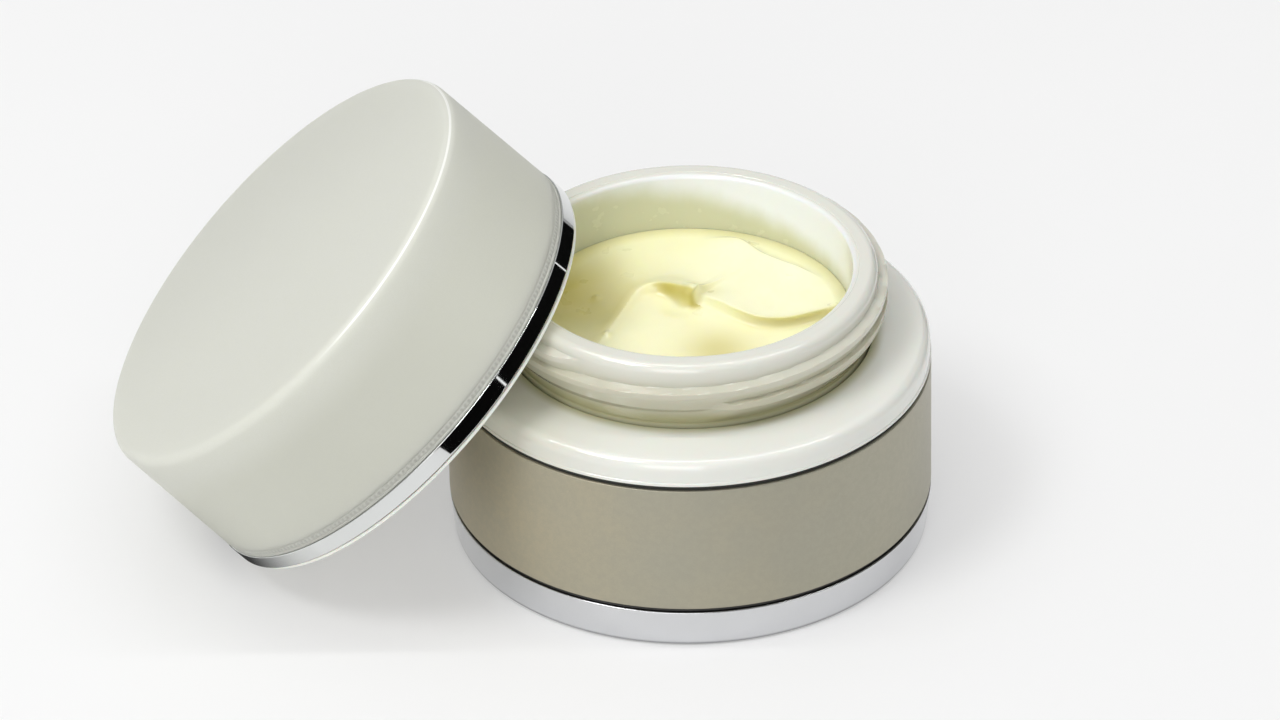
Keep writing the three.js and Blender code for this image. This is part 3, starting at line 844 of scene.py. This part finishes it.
def beside(x, y, line):
    """For every point its distance to a line, positive on the line's left, and how far along the line it is,
    from 0 to 1: both come from the line's nearest sample."""
    flat = np.stack([x.ravel(), y.ravel()], axis=-1)
    nearest = np.concatenate([
        ((part[:, None, :] - line[None, :, :]) ** 2).sum(axis=-1).argmin(axis=1)
        for part in np.array_split(flat, 32)
    ])
    way = np.gradient(line, axis=0)[nearest]
    away = flat - line[nearest]
    turn = way[:, 0] * away[:, 1] - way[:, 1] * away[:, 0]
    distance = np.hypot(*away.T) * np.sign(turn)
    return distance.reshape(x.shape), (nearest / (len(line) - 1)).reshape(x.shape)


def fold(x, y, line, steep, gentle):
    """A fold along a line: on the line's left its height falls off gently from a sharp crest, as an
    exponential of the distance, and on its right it drops as a narrow bell curve. Also gives the way along
    the line."""
    distance, along = beside(x, y, line)
    crisp = 0.3 * MM
    slope = np.exp(-(np.sqrt(distance**2 + crisp**2) - crisp) / (gentle * MM))
    drop = np.exp(-((distance / (steep * MM)) ** 2))
    return np.where(distance > 0, slope, drop), along


def bell(x, y, middle, reach):
    """A round bell curve about a middle, both in millimetres."""
    squared = (x - middle[0] * MM) ** 2 + (y - middle[1] * MM) ** 2
    return np.exp(-squared / (reach * MM) ** 2)


# The strokes that a fingertip left, from above, in millimetres from the cup's axis.
CURL = stroke([
    (-14.5, -11.5), (-10.8, -4.6), (-8.9, 0.4), (-7.0, 4.2),
    (-4.4, 5.2), (-2.0, 4.3), (-0.2, 2.6), (0.9, 1.7),
])
SWEEP = stroke([
    (0.3, 3.6), (1.6, 2.7), (4.2, 0.6), (6.5, -1.3),
    (9.6, -3.1), (13.3, -3.0), (17.5, -0.9), (20.5, 1.2),
])
FACET = stroke([(1.0, 19.5), (6.6, 18.0), (10.2, 13.6), (15.2, 10.0), (19, 8)])


def painted_cream_shade(x, y, z):
    """Painted shade on the cream, from 0 to 1: shadow strips just in front of the curl and of the long fold,
    a shaded slope behind the curl's start, three broad soft patches of shade and a band of shade along the
    wall."""
    curl, along = beside(x, y, CURL)
    under = np.exp(-(((curl + 0.5 * MM) / (0.75 * MM)) ** 2)) * smoothstep(along, 0.45, 0.7)
    side = np.exp(-np.abs(curl - 1.2 * MM) / (2.2 * MM)) * (curl > 0) * (1 - smoothstep(along, 0.35, 0.6))
    sweep, along = beside(x, y, SWEEP)
    below = np.exp(-(((sweep + 0.5 * MM) / (0.7 * MM)) ** 2)) * smoothstep(along, 0.35, 0.7)
    broad = 0.4 * bell(x, y, (2.6, 3.9), 1.6) + 0.65 * bell(x, y, (4.0, -9.5), 4.8) + bell(x, y, (-18, 6), 9)
    wall = smoothstep(np.hypot(x, y), 19.5 * MM, 21.9 * MM)
    return np.clip(0.4 * wall + 0.95 * under + 0.35 * side + 0.6 * below + broad, 0, 1)


def cream_top(x, y, z, on_top, edge, cream):
    """Raises the flat fill: a low crown, the curl with its hanging tip, the fold that sweeps to the right, a
    facet at the back, two hollows, faint finger strokes and two small drops. All of it fades out at the wall,
    where the cream clings a little way up. Crests lean over towards the front by a share of their height."""
    share = np.clip(1 - (np.hypot(x, y) / edge) ** 2, 0, 1)
    inner = smoothstep(share, 0.0, 0.2)
    x0, y0 = x * on_top, y * on_top
    curl, along = fold(x0, y0, CURL, 0.7, 3.2)
    curl = curl * (0.25 * smoothstep(along, 0, 0.2) + 0.75 * smoothstep(along, 0.3, 0.75))
    curl = curl * (1 - smoothstep(along, 0.9, 1))
    sweep, along = fold(x0, y0, SWEEP, 0.55, 6.0)
    sweep = sweep * smoothstep(along, 0.0, 0.35) * (1 - 0.4 * smoothstep(along, 0.8, 1))
    facet, along = fold(x0, y0, FACET, 3.0, 0.8)
    facet = facet * smoothstep(along, 0, 0.3) * (1 - smoothstep(along, 0.7, 1))
    tip = bell(x0, y0, (0.2, 3.0), 1.6)
    hollow = bell(x0, y0, (-14.0, 1.5), 5.0) + 0.5 * bell(x0, y0, (-1.5, 1.2), 2.2)
    strokes = np.sin((0.5 * x0 + y0) / (1.6 * MM)) * bell(x0, y0, (-8, -7), 5)
    strokes = strokes + 0.8 * np.sin((y0 - 0.7 * x0) / (1.3 * MM)) * bell(x0, y0, (-14, 4), 4)
    cling = (1 - smoothstep(share, 0.0, 0.22)) * (0.75 + 0.25 * np.sin(3 * np.arctan2(y0, x0) + 1))
    drops = bell(x0, y0, (-12.5, 4.9), 0.55) + bell(x0, y0, (-11.0, -5.4), 0.6)
    height = cream.crown * share + cream.curl_height * (0.7 * curl + 0.5 * tip) + 0.3 * MM * drops
    height = height + cream.fold_height * sweep + (facet - 1.2 * hollow + 0.12 * strokes) * MM
    hang = curl * smoothstep(curl, 0.45, 1.0) * 0.7 + sweep * smoothstep(sweep, 0.5, 1.0) * 0.6 + tip
    lean = cream.lap * hang * on_top * inner
    return x + lean * 0.25, y - lean, z + (height * inner + cling * 0.45 * MM) * on_top


class BuildOvercap(JarPiece, bpy.types.Operator):
    """Build the frosted overcap and the fine toothed band along its foot"""

    bl_idname = "cream_jar.build_overcap"
    bl_label = "Overcap"

    def execute(self, context):
        lid, colours = context.scene.cream_jar_lid, context.scene.cream_jar_finishes
        seam = 0.03 * MM
        foot = lid.ring_height + seam
        band = foot + lid.band_height
        crown = lid.shell_radius - lid.draft
        flat = crown - 2 * lid.crown_edge
        ledge = lid.shell_radius - 0.0008
        wall = [
            (0, lid.ceiling),
            (lid.shell_bore - lid.draft, lid.ceiling, 0.001),
            (lid.shell_bore, foot, 0.0001),
            (ledge, foot, 0.0001),
            (ledge, band + 0.00002),
            (lid.shell_radius, band + 0.00002, 0.00004),
            (crown, lid.shell_height, lid.crown_edge),
            (flat, lid.shell_height + 0.00004, 0),
        ]
        face = np.linspace(flat, 0, 40)[1:]
        dome = lid.shell_height + 0.00004 + lid.crown_rise * (1 - (face / flat) ** 2)
        outline = np.vstack([rounded(wall, 0.7, 9), np.stack([face, dome], axis=-1)])
        frosted = frosted_acrylic(colours, lid)
        build("frosted_overcap", outline, LID, "frosted_acrylic", frosted, "overcap")
        inner, outer = lid.shell_radius - 0.00075, lid.shell_radius
        teeth = [
            (inner, foot, 0.0001),
            (outer, foot, CRISP),
            (outer, foot + 0.00034, 0.00006),
            (outer - 0.00008, foot + 0.00040, 0.00004),
            (outer - 0.00004, band, 0.00003),
            (inner, band, 0.0001),
            (inner, foot + 0.0002, 0),
        ]

        def wave(x, y):
            """1 in the middle of a tooth and 0 between two, as a squared cosine of the angle."""
            return np.cos(np.arctan2(y, x) * lid.teeth / 2) ** 2

        def upper(z, low, full, end):
            """1 in the band's upper part, where the teeth are, and 0 below and above it."""
            return smoothstep(z, foot + low, foot + full) * (1 - smoothstep(z, band - 0.0003, band - end))

        def shape(x, y, z):
            radius = np.hypot(x, y)
            relief = wave(x, y) * upper(z, 0.00050, 0.00062, 0.0001) * lid.tooth_depth
            grown = 1 + relief * (radius > inner + 0.0004) / radius
            return x * grown, y * grown, z

        def shade(x, y, z):
            """Painted shade between the teeth."""
            return (1 - wave(x, y)) * upper(z, 0.00045, 0.00058, 0.00015) * 0.45

        options = {"segments": lid.teeth * 5, "closed": True, "shape": shape, "shade": shade}
        build("toothed_band", rounded(teeth, 0.12, 3), LID, "frosted_acrylic", frosted, "overcap", **options)
        return {"FINISHED"}


class BuildTrimRing(JarPiece, bpy.types.Operator):
    """Build the mirror-plated ring round the lid"""

    bl_idname = "cream_jar.build_trim_ring"
    bl_label = "Trim ring"

    def execute(self, context):
        lid, colours = context.scene.cream_jar_lid, context.scene.cream_jar_finishes
        ring = [
            (lid.ring_bore, 0, EDGE),
            (lid.radius, 0, CRISP),
            (lid.radius, lid.ring_height, CRISP),
            (lid.ring_bore, lid.ring_height, EDGE),
            (lid.ring_bore, 0.0003, 0),
        ]
        ring = rounded(ring, 0.12, 10)
        metal = plated("plated_trim", colours.trim, True, 0.035)
        build("plated_trim_ring", ring, LID, "plated_trim", metal, "trim_ring", segments=480, closed=True)
        return {"FINISHED"}


class BuildInnerCap(JarPiece, bpy.types.Operator):
    """Build the threaded inner cap with the pale flange below the trim ring"""

    bl_idname = "cream_jar.build_inner_cap"
    bl_label = "Inner cap"

    def execute(self, context):
        scene = context.scene
        lid, thread = scene.cream_jar_lid, scene.cream_jar_thread
        gap = 0.3 * MM
        seat = lid.liner_low + lid.liner_thickness + gap
        roof = seat + lid.roof
        open_edge = -gap - lid.flange_height
        post = lid.post_radius + lid.post_wall
        thread_top = lid.liner_low - 0.0005
        upper = rounded([(0, seat), (lid.cap_bore, seat, 0.0003), (lid.cap_bore, thread_top + 0.0005)])
        bore = rounded([(lid.cap_bore, thread_top), (lid.cap_bore, lid.relief_height)], 0.16)
        rest = [
            (lid.cap_bore, lid.relief_height - 0.0001, 0),
            (lid.relief_radius, 0.0006, EDGE),
            (lid.relief_radius, open_edge, EDGE),
            (lid.flange_radius, open_edge, EDGE),
            (lid.flange_radius, -gap, 0.0001),
            (lid.knurl_radius, -gap, 0),
            (lid.knurl_radius, lid.knurl_height, EDGE),
            (lid.cap_radius, lid.knurl_height + 0.001, EDGE),
            (lid.cap_radius, roof, 0.0003),
            (post, roof, EDGE),
            (post, lid.ceiling - gap, EDGE),
            (lid.post_radius, lid.ceiling - gap, EDGE),
            (lid.post_radius, roof, EDGE),
            (0, roof),
        ]
        outline = np.vstack([upper, bore, rounded(rest, 0.8)])
        shape = threaded(lambda r, z: np.abs(r - lid.cap_bore) < MM / 1000, thread_top, -1, thread)
        pale = pale_plastic(scene.cream_jar_finishes)
        build("pale_inner_cap", outline, LID, "pale_plastic", pale, "inner_cap", shape=shape)
        return {"FINISHED"}


class BuildLiner(JarPiece, bpy.types.Operator):
    """Build the foam liner with the print that the jar's rim leaves in it"""

    bl_idname = "cream_jar.build_liner"
    bl_label = "Liner"

    def execute(self, context):
        scene = context.scene
        lid, cup = scene.cream_jar_lid, scene.cream_jar_cup
        low, high = lid.liner_low, lid.liner_low + lid.liner_thickness
        edge = lid.cap_bore - 0.0003
        print_depth = 0.00012
        disc = [
            (0, low),
            (cup.mouth_radius, low, 0.0004),
            (cup.mouth_radius + 0.0006, low + print_depth, 0.0004),
            (cup.neck_radius - 0.0006, low + print_depth, 0.0004),
            (cup.neck_radius, low, 0.0003),
            (edge, low, EDGE),
            (edge, high, EDGE),
            (0, high),
        ]
        foam = liner_foam(scene.cream_jar_finishes)
        build("foam_liner", rounded(disc), LINER, "liner_foam", foam, "liner_wad")
        return {"FINISHED"}


class BuildStudio(JarPiece, bpy.types.Operator):
    """Build the pale table, the soft lights and the camera"""

    bl_idname = "cream_jar.build_studio"
    bl_label = "Studio"

    def execute(self, context):
        scene = context.scene
        studio = scene.cream_jar_studio
        add_floor(scene.cream_jar_finishes)
        add_dark_card()
        add_contact_shadow_card()
        add_world(scene)
        add_softbox("key_softbox", (-0.55, -0.45, 1.1), (0, 0, 0.02), (0.4, 0.4), 5.0)
        add_softbox("top_softbox", (0, -0.02, 1.0), (0, 0, 0), (1.6, 0.05), 3.4)
        add_softbox("front_softbox", (-0.17, -2.2, 0.93), (0, 0, 0.02), (1.37, 1.37), 13.0)
        add_camera(scene, studio)
        scene.view_settings.view_transform = "Standard"
        return {"FINISHED"}


def sheet(name, x, y, z):
    """A mesh from places on a grid, given as whole arrays: one face between each four neighbours."""
    points = np.stack([x, y, z], axis=-1).reshape(-1, 3)
    index = np.arange(len(points)).reshape(x.shape)
    quads = np.stack([index[:-1, :-1], index[1:, :-1], index[1:, 1:], index[:-1, 1:]], axis=-1)
    return surface(name, points, quads.reshape(-1, 4), np.empty((0, 3), int))


def only_reflected(card, material):
    """Gives a card its material and hides it from the camera and from every ray but reflections."""
    card.data.materials.append(material)
    for ray in ("camera", "diffuse", "shadow", "transmission", "volume_scatter"):
        setattr(card, "visible_" + ray, False)


def add_floor(colours):
    """A wide flat table, just below the jar, with the faintest mottle and a slight glow that keeps shadows
    light. It can be looked through from below."""
    half, gap = 2.5, 0.15 * MM
    x, y = np.meshgrid(np.linspace(-half, half, 21), np.linspace(-half, half, 21), indexing="ij")
    floor = sheet("studio_table", x, y, np.full_like(x, -gap))
    glow = {"Emission Color": (1, 1, 1, 1), "Emission Strength": 0.34}
    finish = Finish("studio_table", {"Roughness": 0.6, "Specular IOR Level": 0.2, **glow})
    finish.feed("Base Color", finish.mix(colours.floor, scaled(colours.floor, 0.985), finish.noise(60.0)))
    from_below = finish.add("ShaderNodeNewGeometry", {}, {}, "Backfacing")
    clear = finish.add("ShaderNodeBsdfTransparent", {}, {})
    table = Value(finish, finish.shader.outputs[0])
    both = finish.add("ShaderNodeMixShader", {}, {0: from_below, 1: table, 2: clear})
    finish.tree.links.new(both.socket, finish.tree.nodes["Material Output"].inputs["Surface"])
    floor.data.materials.append(finish.material)


def add_dark_card():
    """A dark curved screen on the right that only reflections see: part of an upright cylinder, with two
    narrow upright lights that glint in the lid's ring."""
    radius, height = 0.215, 0.2
    around = np.linspace(math.radians(-84), math.radians(59.5), 64)
    turn, z = np.meshgrid(around, np.linspace(0.0, height, 5), indexing="ij")
    card = sheet("dark_card", radius * np.cos(turn), radius * np.sin(turn), z)
    dark = {"Base Color": (0.004, 0.004, 0.004, 1), "Roughness": 0.9, "Specular IOR Level": 0.0}
    finish = Finish("dark_card", {**dark, "Emission Strength": 1.2})
    bearing = finish.part(finish.flat_way(finish.here), 1)
    glints = []
    for degrees in (-44.7, 30.9):
        off = bearing.math("ABSOLUTE", bearing - math.sin(math.radians(degrees)))
        glints.append(finish.step(off, 0.004, 0.009, 1.0, 0.0))
    finish.feed("Emission Color", finish.mix((0, 0, 0), (1, 1, 1), sum(glints)))
    only_reflected(card, finish.material)


def add_contact_shadow_card():
    """A dark card on the table under the lid's low edge that only reflections see, and that fades out to the
    front:
    a painted contact shadow under the lid for the trim ring to reflect."""
    x, y = np.meshgrid(np.array([-0.074, -0.050]), np.linspace(-0.034, 0.012, 9), indexing="ij")
    card = sheet("contact_shadow_card", x, y, np.full_like(x, 0.1 * MM))
    dark = {"Base Color": (0.03, 0.03, 0.03, 1), "Roughness": 0.9, "Specular IOR Level": 0.0}
    finish = Finish("contact_shadow_card", dark)
    finish.feed("Alpha", finish.along(1, -0.031, -0.013, 0.0, 0.95))
    only_reflected(card, finish.material)


def add_world(scene):
    """Soft light from the whole sky, brighter overhead and dimmer low on the right. The camera sees a plain
    pale backdrop."""
    world = bpy.data.worlds.new("soft_studio")
    world.use_nodes = True
    scene.world = world
    world.node_tree.nodes.clear()
    nodes = Nodes(world.node_tree)
    bearing = nodes.add("ShaderNodeTexCoord", {}, {}, "Generated")
    height = nodes.part(bearing, 2)
    rise = nodes.step(height, 0.0, 1.0, 0.47, 0.6)
    right = nodes.step(nodes.part(nodes.flat_way(bearing), 0), 0.3, 0.75)
    low = nodes.step(height, 0.35, 0.7, 1.0, 0.0)
    strength = rise * (1 - right * low * 0.35)
    light = nodes.add("ShaderNodeBackground", {}, {"Color": (1, 1, 1, 1), "Strength": strength})
    seen = nodes.add("ShaderNodeBackground", {}, {"Color": (*tone(243, 243, 243), 1)})
    camera_ray = nodes.add("ShaderNodeLightPath", {}, {}, "Is Camera Ray")
    both = nodes.add("ShaderNodeMixShader", {}, {0: camera_ray, 1: light, 2: seen})
    nodes.add("ShaderNodeOutputWorld", {}, {"Surface": both}, None)


def add_softbox(name, place, aim, sides, power):
    """A rectangular soft light at a place, turned to face its aim."""
    data = bpy.data.lights.new(name, "AREA")
    data.shape = "RECTANGLE"
    data.size, data.size_y = sides
    data.energy = power
    lamp = bpy.data.objects.new(name, data)
    lamp.location = place
    lamp.rotation_euler = (Vector(aim) - Vector(place)).to_track_quat("-Z", "Y").to_euler()
    lamp.visible_camera = False
    bpy.context.scene.collection.objects.link(lamp)


def add_camera(scene, studio):
    """A long lens at the studio's azimuth and elevation, rolled slightly about its own axis."""
    turn, rise = studio.azimuth, studio.elevation
    back = Vector((math.sin(turn) * math.cos(rise), -math.cos(turn) * math.cos(rise), math.sin(rise)))
    side = Vector((math.cos(turn), math.sin(turn), 0))
    over = back.cross(side)
    data = bpy.data.cameras.new("studio_camera")
    data.lens = studio.lens
    data.sensor_width = 36
    data.clip_start, data.clip_end = 0.05, 50
    camera = bpy.data.objects.new("studio_camera", data)
    right = math.cos(studio.roll) * side + math.sin(studio.roll) * over
    axes = Matrix((right, back.cross(right), back)).transposed()
    place = back * studio.distance + side * studio.aim_side + over * studio.aim_up
    camera.matrix_world = Matrix.Translation(place) @ axes.to_4x4()
    scene.collection.objects.link(camera)
    scene.camera = camera


class CreamJarPanel(bpy.types.Panel):
    """Lists the jar's sizes and the operators that build it"""

    bl_label = "Cream Jar"
    bl_idname = "VIEW3D_PT_cream_jar"
    bl_space_type = "VIEW_3D"
    bl_region_type = "UI"
    bl_category = "Cream Jar"

    def draw(self, context):
        for operator in OPERATORS:
            self.layout.operator(operator.bl_idname)
        for name, group in SETTINGS.items():
            box = self.layout.box()
            for key in group.__annotations__:
                box.prop(getattr(context.scene, name), key)


OPERATORS = (
    BuildBase,
    BuildSleeve,
    BuildCup,
    BuildCream,
    BuildOvercap,
    BuildTrimRing,
    BuildInnerCap,
    BuildLiner,
    BuildStudio,
)


def register():
    for group in SETTINGS.values():
        bpy.utils.register_class(group)
    for name, group in SETTINGS.items():
        setattr(bpy.types.Scene, name, PointerProperty(type=group))
    for operator in OPERATORS:
        bpy.utils.register_class(operator)
    bpy.utils.register_class(CreamJarPanel)


def unregister():
    bpy.utils.unregister_class(CreamJarPanel)
    for operator in reversed(OPERATORS):
        bpy.utils.unregister_class(operator)
    for name in SETTINGS:
        delattr(bpy.types.Scene, name)
    for group in SETTINGS.values():
        bpy.utils.unregister_class(group)


def main():
    register()
    for operator in OPERATORS:
        family, verb = operator.bl_idname.split(".")
        getattr(getattr(bpy.ops, family), verb)()


if __name__ == "__main__":
    main()
